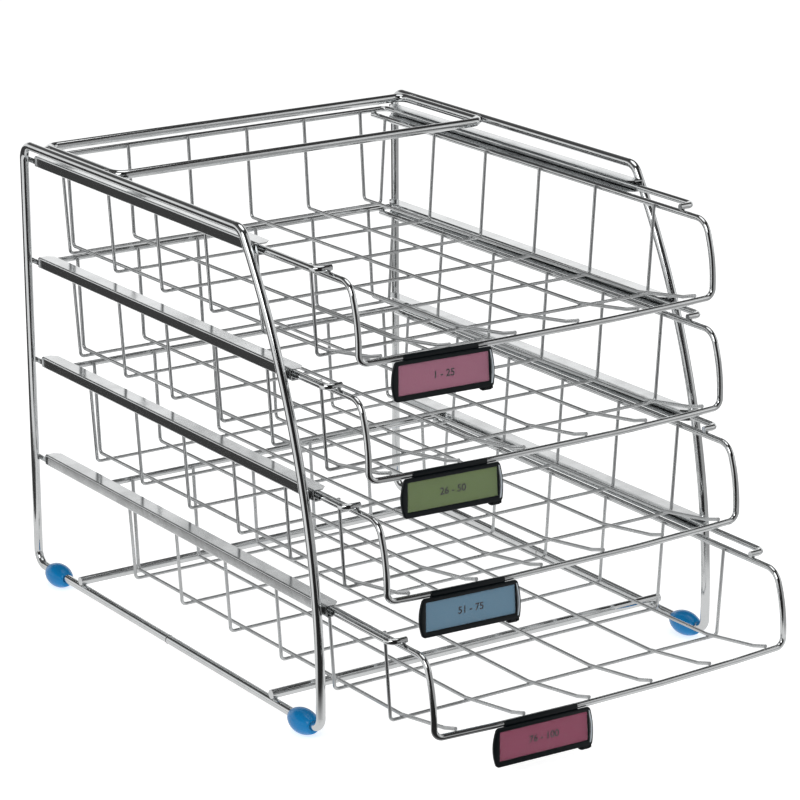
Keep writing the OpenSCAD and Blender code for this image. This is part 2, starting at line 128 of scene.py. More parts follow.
class LabelSizes(PropertyGroup):
    """Sizes of a label holder, measured from the bar's axis at the middle of its clip."""
    clip_len: length("Clip length", "Length of the split tube on the bar", 52.0)
    clip_shift: length("Clip shift", "Distance of the split tube's middle from the joint", 1.0)
    clip_bore: length("Clip bore", "Inner radius of the split tube", 2.05)
    clip_wall: length("Clip wall", "Wall of the split tube", 0.95)
    plate_left: length("Plate left", "Distance of the plate's left corners from the middle", 31.6)
    plate_right: length("Plate right", "Distance of its right corners from the middle", 37.0)
    plate_top: length("Plate top", "Depth of the plate's top under the bar's axis", 1.0)
    plate_h: length("Plate height", "Height of the plate", 25.0)
    plate_back: length("Plate back", "Distance of the plate's back from the bar's axis", 1.95)
    plate_t: length("Plate thickness", "Thickness of the plate", 2.4)
    right_slant: length("Right slant", "Distance by which the right side leans in at the top", 2.0)
    bulge_left: length("Left bulge", "Bulge of the plate's left side", 2.5)
    bulge_right: length("Right bulge", "Bulge of the plate's right side", 1.5)
    corner: length("Corner radius", "Radius of the plate's corners", 1.6)
    edge: length("Edge radius", "Rounding of the plate's edges", 0.7)
    top_border: length("Top border", "Border over the card", 2.4)
    bottom_border: length("Bottom border", "Border under the card", 3.5)
    left_border: length("Left border", "Border left of the card", 1.8)
    right_border: length("Right border", "Border right of the card", 2.9)
    pocket_t: length("Pocket depth", "Depth of the pocket for card and window", 1.2)
    card_t: length("Card thickness", "Thickness of the card", 0.4)
    window_t: length("Window thickness", "Thickness of the clear window", 0.45)
    tab_w: length("Tab width", "Width of the thumb tab", 9.0)
    tab_drop: length("Tab drop", "Depth of the thumb tab under the plate", 2.0)
    tab_inset: length("Tab inset", "Distance of the thumb tab from the plate's right corner", 0.4)
    strip_w: length("Edge strip", "Width of the clear strip along the right side", 1.1)
    rail_w: length("Right rail", "Width of the black rail right of the clear strip", 0.9)
    digit: length("Digit size", "Type size of the plain numbers on a card", 6.4)


class Colours(PropertyGroup):
    """Linear colours of the finishes."""
    chrome: colour("Chrome", "Bright chrome plating", (0.79, 0.805, 0.81))
    thin_chrome: colour("Thin chrome", "Chrome plating on the thin wires", (0.66, 0.675, 0.68))
    weld: colour("Weld", "Plated weld metal", (0.50, 0.51, 0.51))
    foot: colour("Foot", "Glossy blue plastic", (0.0, 0.185, 0.46))
    holder: colour("Holder", "Satin black plastic", (0.001, 0.0035, 0.005))
    ink: colour("Ink", "Ink of the numbers", (0.012, 0.008, 0.011))
    strip: colour("Strip", "Frosted edge of the clear window", (0.36, 0.40, 0.43))
    card_1: colour("Card 1", "Card of the top tray", (0.28, 0.086, 0.145))
    card_2: colour("Card 2", "Card of the second tray", (0.107, 0.158, 0.045))
    card_3: colour("Card 3", "Card of the third tray", (0.092, 0.196, 0.285))
    card_4: colour("Card 4", "Card of the lowest tray", (0.225, 0.026, 0.074))


class Studio(PropertyGroup):
    """Light and camera."""
    key: FloatProperty(name="Key light", description="Power of the lamp at the left", default=12.0,
                       min=0.0, unit="POWER")
    fill: FloatProperty(name="Fill light", description="Power of the lamp at the right",
                        default=5.0, min=0.0, unit="POWER")
    top: FloatProperty(name="Top light", description="Power of the lamp overhead", default=8.0,
                       min=0.0, unit="POWER")
    air: FloatProperty(name="Air", description="Strength of the white surroundings", default=0.40,
                       min=0.0)
    focal: FloatProperty(name="Focal length", description="Focal length on a 36 mm sensor",
                         default=150.437, min=1.0, subtype="DISTANCE_CAMERA")
    table: FloatProperty(name="Table", description="Radius of the white table that metal reflects",
                         default=0.45, min=0.1, unit="LENGTH", subtype="DISTANCE")
    table_left: FloatProperty(name="Table's left edge", description="Distance of the white table's "
                              "left edge from the middle", default=0.2704, min=0.1, unit="LENGTH",
                              subtype="DISTANCE")


# ---- Shader maths ----

class Value:
    """A number that comes out of a node. Adding, multiplying and so on adds Math nodes."""

    def __init__(self, finish, socket):
        self.finish = finish
        self.socket = socket

    def _math(self, operation, a, b):
        return self.finish.node("ShaderNodeMath", {"operation": operation}, {0: a, 1: b})

    def __add__(self, other):
        return self._math("ADD", self, other)

    def __radd__(self, other):
        return self._math("ADD", other, self)

    def __sub__(self, other):
        return self._math("SUBTRACT", self, other)

    def __rsub__(self, other):
        return self._math("SUBTRACT", other, self)

    def __mul__(self, other):
        return self._math("MULTIPLY", self, other)

    def __rmul__(self, other):
        return self._math("MULTIPLY", other, self)


class Finish:
    """A node material, or the world's nodes, built from one method for every kind of node."""

    def __init__(self, owner):
        owner.use_nodes = True
        self.owner = owner
        self.tree = owner.node_tree
        self.tree.nodes.clear()

    def node(self, kind, settings=None, inputs=None, out=0):
        """Adds a node of a type, sets its settings, then the values or links of its sockets."""
        made = self.tree.nodes.new(kind)
        for key, value in (settings or {}).items():
            setattr(made, key, value)
        for key, value in (inputs or {}).items():
            if isinstance(value, Value):
                self.tree.links.new(value.socket, made.inputs[key])
            else:
                made.inputs[key].default_value = value
        return Value(self, made.outputs[out]) if len(made.outputs) else made

    def place(self, scale=(1.0, 1.0, 1.0)):
        """Object coordinates, stretched by a scale."""
        where = self.node("ShaderNodeTexCoord", out="Object")
        return self.node("ShaderNodeMapping", None, {"Vector": where, "Scale": scale})

    def noise(self, vector, scale, detail=3.0, roughness=0.55):
        """Cloudy noise from 0 to 1, with about that many clouds to a metre."""
        return self.node("ShaderNodeTexNoise", None, {"Vector": vector, "Scale": scale,
                                                       "Detail": detail, "Roughness": roughness})

    def ramp(self, value, low, high):
        """0 under low, 1 over high, smooth between."""
        return self.node("ShaderNodeMapRange", {"interpolation_type": "SMOOTHSTEP"},
                         {"Value": value, "From Min": low, "From Max": high})

    def mix(self, factor, a, b):
        """From colour a to colour b."""
        return self.node("ShaderNodeMix", {"data_type": "RGBA"},
                         {0: factor, 6: _rgba(a), 7: _rgba(b)}, out=2)

    def bump(self, height, strength, distance):
        """A normal that is tilted by a height."""
        return self.node("ShaderNodeBump", None, {"Height": height, "Strength": strength,
                                                   "Distance": distance})

    def surface(self, **sockets):
        """One Principled BSDF whose sockets are named with underscores for blanks."""
        shader = self.node("ShaderNodeBsdfPrincipled", None,
                           {key.replace("_", " "): value for key, value in sockets.items()})
        self.node("ShaderNodeOutputMaterial", None, {"Surface": shader})
        return self.owner


def _rgba(tone):
    """A colour as a socket takes it."""
    return tone if isinstance(tone, Value) else (*tone[:3], 1.0)


def shade(tone, factor):
    """A colour made lighter or darker."""
    return tuple(min(1.0, part * factor) for part in tone)


def chrome(name, tone, rough, grain):
    """Bright plating: clouds of haze, short polishing marks and a faint waviness of the steel."""
    finish = Finish(bpy.data.materials.new(name))
    where = finish.place()
    haze = finish.ramp(finish.noise(where, 46.0, 4.0), 0.35, 0.72)
    marks = finish.noise(finish.place((1.0, 0.35, 1.0)), grain, 3.0, 0.7)
    wave = finish.noise(where, 210.0, 2.0)
    specks = finish.ramp(finish.noise(where, 1700.0, 2.0), 0.68, 0.76)
    tint = finish.mix(haze * 0.6 + marks * 0.3, tone, shade(tone, 0.84))
    return finish.surface(
        Base_Color=finish.mix(specks * 0.5, tint, shade(tone, 0.5)),
        Metallic=1.0,
        Roughness=rough + haze * 0.05 + marks * 0.05 + specks * 0.12,
        Normal=finish.bump(wave * 0.8 + marks * 0.2, 0.10, 0.0002),
    )


def weld_metal(context):
    """The finish of all welds, made once."""
    return (bpy.data.materials.get("plated_weld")
            or chrome("plated_weld", context.scene.tray_colours.weld, rough=0.16, grain=1500.0))


def moulded(name, tone, rough, grain, depth, coat, shine=0.5):
    """Moulded plastic: a fine skin, faint flow marks and handling that dulls it in places."""
    finish = Finish(bpy.data.materials.new(name))
    where = finish.place()
    flow = finish.noise(finish.place((0.5, 1.0, 2.0)), 120.0, 3.0)
    skin = finish.noise(where, grain, 3.0, 0.6)
    worn = finish.ramp(finish.noise(where, 75.0, 4.0), 0.45, 0.75)
    tint = finish.mix(flow * 0.5, shade(tone, 1.12), shade(tone, 0.84))
    return finish.surface(
        Base_Color=finish.mix(worn * 0.25, tint, shade(tone, 1.5)),
        Roughness=rough + worn * 0.07 + skin * 0.05,
        Specular_IOR_Level=shine,
        Coat_Weight=coat,
        Coat_Roughness=0.08,
        Normal=finish.bump(skin * 0.6 + flow * 0.4, depth, 0.0002),
    )


def paper(name, tone):
    """Coloured card: felted fibres, a fine tooth and slight fading in clouds."""
    finish = Finish(bpy.data.materials.new(name))
    fibres = finish.noise(finish.place((1.0, 1.0, 3.5)), 1500.0, 5.0, 0.75)
    tooth = finish.noise(finish.place(), 3600.0, 2.0)
    clouds = finish.noise(finish.place(), 70.0, 3.0)
    tint = finish.mix(finish.ramp(fibres, 0.3, 0.75), shade(tone, 0.86), shade(tone, 1.16))
    return finish.surface(
        Base_Color=finish.mix(clouds * 0.3, tint, shade(tone, 1.25)),
        Roughness=0.72 + tooth * 0.2,
        Normal=finish.bump(fibres * 0.5 + tooth * 0.5, 0.25, 0.00012),
    )


def film(name):
    """Clear film: see-through, glossy, with faint scuffs that show as haze."""
    finish = Finish(bpy.data.materials.new(name))
    scuffs = finish.ramp(finish.noise(finish.place((1.0, 1.0, 6.0)), 260.0, 4.0, 0.7), 0.52, 0.78)
    return finish.surface(
        Base_Color=(0.86, 0.9, 0.92, 1.0),
        Roughness=0.06 + scuffs * 0.25,
        Alpha=0.02 + scuffs * 0.03,
    )


def ink(name, tone):
    """Printing ink: nearly even, a little thin over the paper's tooth."""
    finish = Finish(bpy.data.materials.new(name))
    tooth = finish.noise(finish.place(), 2600.0, 3.0)
    return finish.surface(
        Base_Color=finish.mix(tooth * 0.7, tone, shade(tone, 1.9)),
        Roughness=0.5 + tooth * 0.25,
        Normal=finish.bump(tooth, 0.1, 0.0001),
    )


# ---- Mesh making ----

def piece(name, grids, material, body):
    """A smooth piece at the origin, made of closed grids: doubles merged, faces turned outwards,
    riding on a body."""
    points, faces = gather(grids)
    mesh = bpy.data.meshes.new(name)
    mesh.from_pydata(points, [], faces)
    work = bmesh.new()
    work.from_mesh(mesh)
    bmesh.ops.remove_doubles(work, verts=work.verts, dist=0.001 * MM)
    bmesh.ops.dissolve_degenerate(work, edges=work.edges, dist=0.001 * MM)
    bmesh.ops.recalc_face_normals(work, faces=work.faces)
    work.to_mesh(mesh)
    work.free()
    mesh.polygons.foreach_set("use_smooth", np.full(len(mesh.polygons), True))
    mesh.materials.append(material)
    made = bpy.data.objects.new(name, mesh)
    bpy.context.scene.collection.objects.link(made)
    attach(made, body)
    return made


def grid_faces(rows, columns, closed, start=0):
    """Quads of a grid of rows and columns, whose columns close on themselves where closed."""
    wide = columns if closed else columns - 1
    r, c = np.meshgrid(np.arange(rows - 1), np.arange(wide), indexing="ij")
    n = (c + 1) % columns
    return start + np.stack([r * columns + c, r * columns + n,
                             (r + 1) * columns + n, (r + 1) * columns + c], axis=-1).reshape(-1, 4)


def gather(grids):
    """Points and faces of grids of rows, columns and x, y, z, each of which closes on itself along
    its columns."""
    points, faces, start = [], [], 0
    for grid in grids:
        rows, columns = grid.shape[:2]
        points.append(grid.reshape(-1, 3))
        faces.append(grid_faces(rows, columns, True, start))
        start += rows * columns
    return np.concatenate(points), np.concatenate(faces)


def unit(v):
    """A vector divided by its length."""
    return v / np.linalg.norm(v, axis=-1, keepdims=True)


def fillets(spots, share):
    """Weld fillets where wires cross. A spot is (point, line of wire a, line of wire b, way from
    a to b, radius of a, radius of b). Round the point, at an angle p and a reach q from it, the
    lower edge lies on wire a, at sqrt(ra^2 - (q sin p)^2) - ra, the upper edge on wire b, at
    rb - sqrt(rb^2 - (q cos p)^2), and the reach shrinks to a waist between them. Past both edges
    the rings close to a pole inside the wire, at the depth of sunk."""
    sunk, around = 0.25 * MM, 12
    point, u, v, n = (np.array([s[k] for s in spots], float)[:, None, None, :] for k in range(4))
    ra, rb = (np.array([s[k] for s in spots], float)[:, None, None] for k in (4, 5))
    waist, rise, tuck = (np.array(rings)[None, :, None] for rings in (
        (0.0, 0.55, 1.0, 0.82, 0.72, 0.82, 1.0, 0.55, 0.0),
        (0.0, 0.0, 0.0, 0.22, 0.5, 0.78, 1.0, 1.0, 1.0),
        (-1.0, -0.6, -0.12, 0.0, 0.0, 0.0, 0.12, 0.6, 1.0)))
    p = np.linspace(0.0, 2 * np.pi, around, endpoint=False)[None, None, :]
    q = share * np.minimum(ra, rb) * waist
    low = np.sqrt(ra ** 2 - (q * np.sin(p)) ** 2) - ra
    high = rb - np.sqrt(rb ** 2 - (q * np.cos(p)) ** 2)
    height = low * (1 - rise) + high * rise + tuck * sunk
    return list(point + (q * np.cos(p))[..., None] * u + (q * np.sin(p))[..., None] * v
                + height[..., None] * n)


def beads(spots):
    """Weld beads, each an ellipsoid, x = a cos t cos p, y = b cos t sin p, z = c sin t, that is
    rippled along y by 1 + swell sin(waves y / b). A spot is (centre, half sizes a, b and c)."""
    rings, around, swell, waves = 9, 14, 0.05, 9
    centre, half = (np.array([s[k] for s in spots], float)[:, None, None, :] for k in (0, 1))
    t = np.linspace(-np.pi / 2, np.pi / 2, rings)[:, None]
    p = np.linspace(0.0, 2 * np.pi, around, endpoint=False)[None, :]
    ball = np.stack([np.cos(t) * np.cos(p), np.cos(t) * np.sin(p), np.sin(t) + 0 * p], axis=-1)
    return list(centre + half * ball * (1 + swell * np.sin(waves * ball[..., 1:2])))


def olive(centre, rise_to_rail, sizes):
    """An olive on a rail along y, turned from a closed profile. Outside, the radius at a distance s
    from the middle is the arc d/2 - R + sqrt(R^2 - s^2). Each end is rounded over, then runs in to
    the bore, which is lifted from the olive's own axis to the rail's. The bottom is cut flat by
    holding z at the floor."""
    shoulder, along, around = 0.97, 33, 64
    half = sizes.foot_len / 2
    rise = (sizes.foot_d - sizes.foot_end_d) / 2
    big = (half ** 2 + rise ** 2) / (2 * rise)
    s = np.linspace(-half * shoulder, half * shoulder, along)
    body = np.stack([s, sizes.foot_d / 2 - big + np.sqrt(big ** 2 - s ** 2)], axis=-1)
    end, bore = sizes.foot_end_d / 2, sizes.foot_bore / 2
    lip = np.array([[half * (1 + shoulder) / 2, end - 0.14 * MM], [half, end - 0.5 * MM],
                    [half - 0.01 * MM, bore + 0.3 * MM], [half - 0.15 * MM, bore + 0.1 * MM],
                    [half - 0.5 * MM, bore + 0.02 * MM], [half - 1.2 * MM, bore]])
    lip_lift = np.array([0.0, 0.1, 0.85, 0.97, 1.0, 1.0])
    profile = np.concatenate([body, lip, lip[::-1] * [-1, 1]])
    lift = np.concatenate([np.zeros(along), lip_lift, lip_lift[::-1]]) * rise_to_rail
    a = np.linspace(0.0, 2 * np.pi, around, endpoint=False)[:, None]
    x = profile[:, 1] * np.cos(a)
    y = profile[:, 0] + 0 * a
    z = np.maximum(profile[:, 1] * np.sin(a), sizes.foot_flat - sizes.foot_d / 2) + lift
    turned = np.stack([x, y, z], axis=-1) + np.array(centre)
    return np.concatenate([turned, turned[:1]])


def outline(x0, x1, z0, z1, radius, bulge_left=0.0, bulge_right=0.0):
    """A rectangle with round corners, as points in x and z: four quarter circles of eight points,
    with straight sides between. Its left and right sides then bulge by b (1 - h^2), where h runs
    from -1 to 1 up the side. The bulge fades out over the outer twelfth of the width."""
    points, outer = 8, 1 / 12
    step = np.linspace(0.0, np.pi / 2, points)
    middles = [(x1 - radius, z0 + radius, -np.pi / 2), (x1 - radius, z1 - radius, 0.0),
               (x0 + radius, z1 - radius, np.pi / 2), (x0 + radius, z0 + radius, np.pi)]
    arcs = [np.stack([cx + radius * np.cos(a + step), cz + radius * np.sin(a + step)], axis=-1)
            for cx, cz, a in middles]
    share = np.linspace(0.0, 1.0, points, endpoint=False)[1:, None]
    sides = [arcs[k][-1] * (1 - share) + arcs[(k + 1) % 4][0] * share for k in range(4)]
    line = np.concatenate([part for k in range(4) for part in (arcs[k], sides[k])])
    across = (line[:, 0] - x0) / (x1 - x0)
    h = (line[:, 1] - (z0 + z1) / 2) / ((z1 - z0) / 2)
    out = (1 - h ** 2) * (bulge_right * np.clip(1 - (1 - across) / outer, 0, 1)
                          - bulge_left * np.clip(1 - across / outer, 0, 1))
    return line + np.stack([out, 0 * out], axis=-1)


def slab(rect, back, front, radius, edge, bulges=(0.0, 0.0), pocket=None, floor=0.0):
    """A slab with rounded edges, as rings of outlines from its back to its front. The rounding is
    a quarter circle of the edge radius. A pocket's outline and floor make a recess in its front.
    The rings are given in x along, y backwards and z up, and close in the middle at both ends."""
    least_radius, pocket_radius, pocket_edge, edge_rings = 0.1 * MM, 0.7 * MM, 0.25 * MM, 5
    turn = np.linspace(0.0, np.pi / 2, edge_rings)

    def ring(inset, y, box=rect, r=radius, b=bulges):
        line = outline(box[0] + inset, box[1] - inset, box[2] + inset, box[3] - inset,
                       max(r - inset / 2, least_radius), *b)
        return np.stack([line[:, 0], np.full(len(line), y), line[:, 1]], axis=-1)

    rings = [ring(edge * (1 - np.sin(a)), back - edge * (1 - np.cos(a))) for a in turn]
    rings += [ring(edge * (1 - np.cos(a)), front + edge * (1 - np.sin(a))) for a in turn]
    hub, end = rect, front
    if pocket is not None:
        hub, end = pocket, floor
        rings += [ring(-pocket_edge * (1 - sunk), front + pocket_edge * deep, pocket,
                       pocket_radius, (0.0, 0.0))
                  for sunk, deep in ((0.0, 0.0), (0.7, 0.3), (1.0, 1.0))]
        rings.append(ring(0.0, floor, pocket, pocket_radius, (0.0, 0.0)))
    poles = [np.broadcast_to([(hub[0] + hub[1]) / 2, y, (hub[2] + hub[3]) / 2], rings[0].shape)
             for y in (back, end)]
    return np.stack([poles[0], *rings, poles[1]])


def lean_in(grid, sizes):
    """Leans the right side in: x loses slant * h, where h runs from 0 at the plate's bottom to 1 at
    its top. The lean fades out over the right tenth of the width."""
    outer = (sizes.plate_left + sizes.plate_right) / 10
    share = np.clip(1 - (sizes.plate_right - grid[..., 0]) / outer, 0, 1)
    h = np.clip(1 + (grid[..., 2] + sizes.plate_top) / sizes.plate_h, 0, 1)
    return grid - (sizes.right_slant * share * h)[..., None] * [1, 0, 0]


def split_tube(half, bore, wall, start, end):
    """A split tube along x. Its section is an arc from start to end with round lips. Towards both
    ends the wall thins out over a quarter circle, so the ends are rounded and closed."""
    arc_points, lip_points, end_rings = 25, 7, 5
    mid, thin = bore + wall / 2, wall / 2
    tip = thin / mid
    arc = np.linspace(start + tip, end - tip, arc_points)
    skin = np.ones(arc_points)
    lip = np.linspace(0.0, np.pi, lip_points)[1:-1]
    angle = np.concatenate([arc, arc[-1] + tip * np.sin(lip),
                            arc[::-1], arc[0] - tip * np.sin(lip)])
    offset = np.concatenate([skin, np.cos(lip), -skin, -np.cos(lip)])
    round_off = np.linspace(0.0, np.pi / 2, end_rings)
    full = np.concatenate([np.sin(round_off), np.sin(round_off[::-1])])
    back = thin * (1 - np.cos(round_off))
    x = np.concatenate([back - half, half - back[::-1]])
    radius = mid + thin * offset[None, :] * full[:, None]
    return np.stack([x[:, None] + 0 * radius, radius * np.cos(angle), radius * np.sin(angle)],
                    axis=-1)


def collar(centre, radius, swell, half):
    """A bead round a wire along y: radius + swell (1 - s^2) at s from -1 to 1 along its length,
    less a little by which its ends sink in the wire. Its ends close in the middle."""
    sunk, along, around = 0.05 * MM, 9, 24
    s = np.linspace(-1.0, 1.0, along)[:, None]
    a = np.linspace(0.0, 2 * np.pi, around, endpoint=False)[None, :]
    r = radius - sunk + swell * (1 - s ** 2)
    rings = np.stack([r * np.cos(a), s * half + 0 * a, r * np.sin(a)], axis=-1)
    poles = rings[[0, -1]] * [0, 1, 0]
    return np.concatenate([poles[:1], rings, poles[1:]]) + np.array(centre)


# ---- Places, read from the frame ----

def stand_place():
    """The rear posts' y, the bottom rails' z, the top rails' z, and the right rails' x."""
    low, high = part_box("side_frame_left")
    r = bpy.context.scene.stand_sizes.frame_wire / 2
    return high.y - r, low.z + r, high.z - r, -(low.x + high.x) / 2


def swing_of(level):
    """The joint of a label: its place on the bar, and the label's directions along and back."""
    joint = next(j for j in frame["joints"] if j["name"] == f"label_{level}_swing")
    along = -np.array(joint["axis"], float)
    return np.array(joint["pos_m"], float), along, np.array([-along[1], along[0], 0.0])


def set_in(grid, level):
    """Moves a grid drawn in a label's own frame to its place on the bar."""
    origin, along, back = swing_of(level)
    return origin + grid[..., :1] * along + grid[..., 1:2] * back + grid[..., 2:] * [0, 0, 1]


def label_plate(s):
    """The left, right, bottom, top and front of a label's plate, in the label's own frame."""
    top = -s.plate_top
    return -s.plate_left, s.plate_right, top - s.plate_h, top, -(s.plate_back + s.plate_t)


def label_pocket(s):
    """The left, right, bottom and top of the pocket for the card."""
    left, right, bottom, top, _ = label_plate(s)
    return (left + s.left_border, right - s.right_border, bottom + s.bottom_border,
            top - s.top_border)


def card_face(s):
    """The y of a card's front face."""
    return label_plate(s)[-1] + s.pocket_t - s.card_t


def bar_reach(level, x, sizes, rim_x):
    """How far the bowed bar stands in front of its ends, at distances x from its middle. Its knots
    lie on the circle of radius R through its ends and its middle, at bow - R + sqrt(R^2 - x^2), and
    it is straight between them, and straight across the middle."""
    bow = sizes.bar_bow
    big = (rim_x ** 2 + bow ** 2) / (2 * bow)
    clip = abs(swing_of(level)[0][0])
    knots = np.array([clip - sizes.clip_seat / 2, clip + sizes.clip_seat / 2, rim_x])
    return np.interp(np.abs(x), knots, bow - big + np.sqrt(big ** 2 - knots ** 2))


def tray_spots(level, sizes):
    """Every place where two wires of a tray are welded, in the form that fillets takes. The last
    ones are on the front bar, one for each floor wire."""
    thick, cross, thin = sizes.tray_wire / 2, sizes.cross_wire / 2, sizes.floor_wire / 2
    gap = bpy.context.scene.stand_sizes.weld_gap / 2
    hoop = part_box(f"tray_{level}_hoop")
    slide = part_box(f"tray_{level}_slide_wire")
    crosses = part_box(f"tray_{level}_cross_wires")
    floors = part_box(f"tray_{level}_floor_wires")
    rim_x, rim_z = hoop[1].x - thick, hoop[1].z - thick
    bar_z = hoop[0].z + thick
    slide_z, rear_y, lap_y = slide[1].z - thick, slide[1].y - thick, slide[0].y + thick
    cross_ys = np.linspace(crosses[1].y - cross, crosses[0].y + cross, sizes.wires)
    floor_xs = np.linspace(floors[0].x + thin, floors[1].x - thin, sizes.wires)
    rear_z = crosses[0].z + cross
    side, ahead, up = np.eye(3)
    climb_back = ahead * math.cos(sizes.climb) - up * math.sin(sizes.climb)
    climb_up = ahead * math.sin(sizes.climb) + up * math.cos(sizes.climb)
    ends_y = hoop[0].y + thick + bar_reach(level, 0.0, sizes, rim_x)
    spots = []
    for s, _ in SIDES:
        spots += [((s * (rim_x - thick - gap), y, rim_z), ahead, up, -s * side, thick, cross)
                  for y in cross_ys]
        spots += [((s * rim_x, y, rim_z + thick + gap), ahead, side, up, thick, thick)
                  for y in (rear_y, lap_y)]
    for k, y in enumerate(cross_ys):
        z = rear_z + sizes.floor_fall * k / (sizes.wires - 1) + cross + gap
        spots += [((x, y, z), side, ahead, up, cross, thin) for x in floor_xs]
    spots += [((x, rear_y - thick - gap, slide_z), side, up, -ahead, thick, thin) for x in floor_xs]
    bar_ys = ends_y - bar_reach(level, floor_xs, sizes, rim_x)
    spots += [(np.array([x, y, bar_z]) + climb_up * (thick + gap), side, climb_back, climb_up,
               thick, thin) for x, y in zip(floor_xs, bar_ys)]
    return spots


# ---- Operators ----

class LETTER_TRAY_OT_finishes(Operator):
    """Gives the wires and the runners their chrome"""
    bl_idname = "letter_tray.finishes"
    bl_label = "Finish Wires and Runners"

    def execute(self, context):
        tones = context.scene.tray_colours
        finishes = {
            "chrome_wire": chrome("bright_chrome_wire", tones.chrome, rough=0.06, grain=900.0),
            "tray_wire": chrome("bright_chrome_tray_wire", tones.chrome, rough=0.06, grain=1300.0),
            "grid_wire": chrome("chrome_thin_wire", tones.thin_chrome, rough=0.24, grain=1900.0),
            "runner_sheet": chrome("bright_chrome_sheet", tones.chrome, rough=0.09, grain=700.0),
        }
        for part in frame["record"]["subparts"]:
            if part["material_slot"] in finishes:
                for slot in frame["nodes"][part["node"]].material_slots:
                    slot.material = finishes[part["material_slot"]]
        return {"FINISHED"}


class LETTER_TRAY_OT_tray_welds(Operator):
    """Lays the weld fillets where the wires of each tray cross"""
    bl_idname = "letter_tray.tray_welds"
    bl_label = "Add Tray Welds"

    def execute(self, context):
        sizes = context.scene.tray_sizes
        metal = weld_metal(context)
        for level in LEVELS:
            spots = tray_spots(level, sizes)
            in_grid, on_bar = spots[:-sizes.wires], spots[-sizes.wires:]
            welds = fillets(in_grid, sizes.fillet) + fillets(on_bar, sizes.bar_fillet)
            piece(f"tray_{level}_welds", welds, metal, f"tray_{level}")
        return {"FINISHED"}


class LETTER_TRAY_OT_stand_welds(Operator):
    """Lays the welds of the ring, cross bars and runners, and the butt welds of ring and rails"""
    bl_idname = "letter_tray.stand_welds"
    bl_label = "Add Stand Welds"

    def execute(self, context):
        sizes = context.scene.stand_sizes
        rail_fillet = 0.6
        crossings, seams = [], []
        for s, name in SIDES:
            crossings += self.bar_crossings(s, sizes)
            seams += self.ring_seams(s, sizes)
            for level in LEVELS:
                seams += self.runner_seams(s, f"runner_{name}_{level}", sizes)
        welds = fillets(crossings, rail_fillet) + beads(seams) + self.butt_welds(sizes)
        piece("stand_welds", welds, weld_metal(context), "stand")
        return {"FINISHED"}

    def bar_crossings(self, s, sizes):
        """Where the cross bars lie on the bottom rail of the side s."""
        _, rail_z, _, rail_x = stand_place()
        r = sizes.frame_wire / 2
        side, ahead, up = np.eye(3)
        boxes = [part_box(bar) for bar in ("cross_bar_rear", "cross_bar_front")]
        return [((s * rail_x, (low.y + high.y) / 2, rail_z + r + sizes.weld_gap / 2), ahead, side,
                 up, r, r) for low, high in boxes]

    def ring_seams(self, s, sizes):
        """Beads over and under the line where the ring lies along the top rail, near its ends."""
        _, _, top_z, rail_x = stand_place()
        r = sizes.frame_wire / 2
        low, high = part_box("brace_ring")
        half = (0.45 * r, sizes.weld_bead, 0.28 * r)
        return [((s * (rail_x - r - sizes.weld_gap / 2), y, top_z + way * 0.62 * r), half)
                for y in (low.y + 4 * r, high.y - 4 * r) for way in (-1, 1)]

    def runner_seams(self, s, runner, sizes):
        """Upright beads before and behind the front post, where the runner's nose passes it, and
        small ones at its tab to the rear post."""
        post_y, _, _, rail_x = stand_place()
        r = sizes.frame_wire / 2
        low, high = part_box(runner)
        x, z = s * (rail_x - 0.86 * r), (low.z + high.z) / 2
        at_nose = (0.22 * r, 0.3 * r, (high.z - low.z) * 0.42)
        at_tab = (0.2 * r, 0.25 * r, 0.5 * r)
        seams = []
        for way in (-1, 1):
            seams.append(((x, low.y + 2 * r + way * 0.5 * r, z), at_nose))
            seams.append(((x, post_y - max(way, 0) * 0.5 * r - 0.1 * r, z), at_tab))
        return seams

    def butt_welds(self, sizes):
        """The collars where the ring's wire and each bottom rail's wire close on themselves."""
        post_y, rail_z, top_z, rail_x = stand_place()
        r = sizes.frame_wire / 2
        ring_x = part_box("brace_ring")[1].x - r
        ring = collar((ring_x, post_y - sizes.notch_y, top_z), r, 0.09 * MM, 1.1 * MM)
        rails = [collar((s * rail_x, post_y - sizes.rail_notch_y, rail_z), r, 0.25 * MM, 0.9 * MM)
                 for s, _ in SIDES]
        return [ring, *rails]


class LETTER_TRAY_OT_feet(Operator):
    """Turns the four olive feet with rounded, countersunk ends"""
    bl_idname = "letter_tray.feet"
    bl_label = "Add Feet"

    def execute(self, context):
        sizes = context.scene.stand_sizes
        plastic = moulded("glossy_blue_plastic", context.scene.tray_colours.foot, rough=0.22,
                          grain=800.0, depth=0.05, coat=0.30, shine=0.22)
        for place in ("rear_left", "rear_right", "front_left", "front_right"):
            low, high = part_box(f"foot_{place}")
            centre = ((low.x + high.x) / 2, (low.y + high.y) / 2,
                      low.z + sizes.foot_d / 2 - sizes.foot_flat)
            grid = olive(centre, stand_place()[1] - centre[2], sizes)
            made = piece(f"olive_foot_{place}", [grid], plastic, "stand")
            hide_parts(f"foot_{place}")
        return {"FINISHED"}


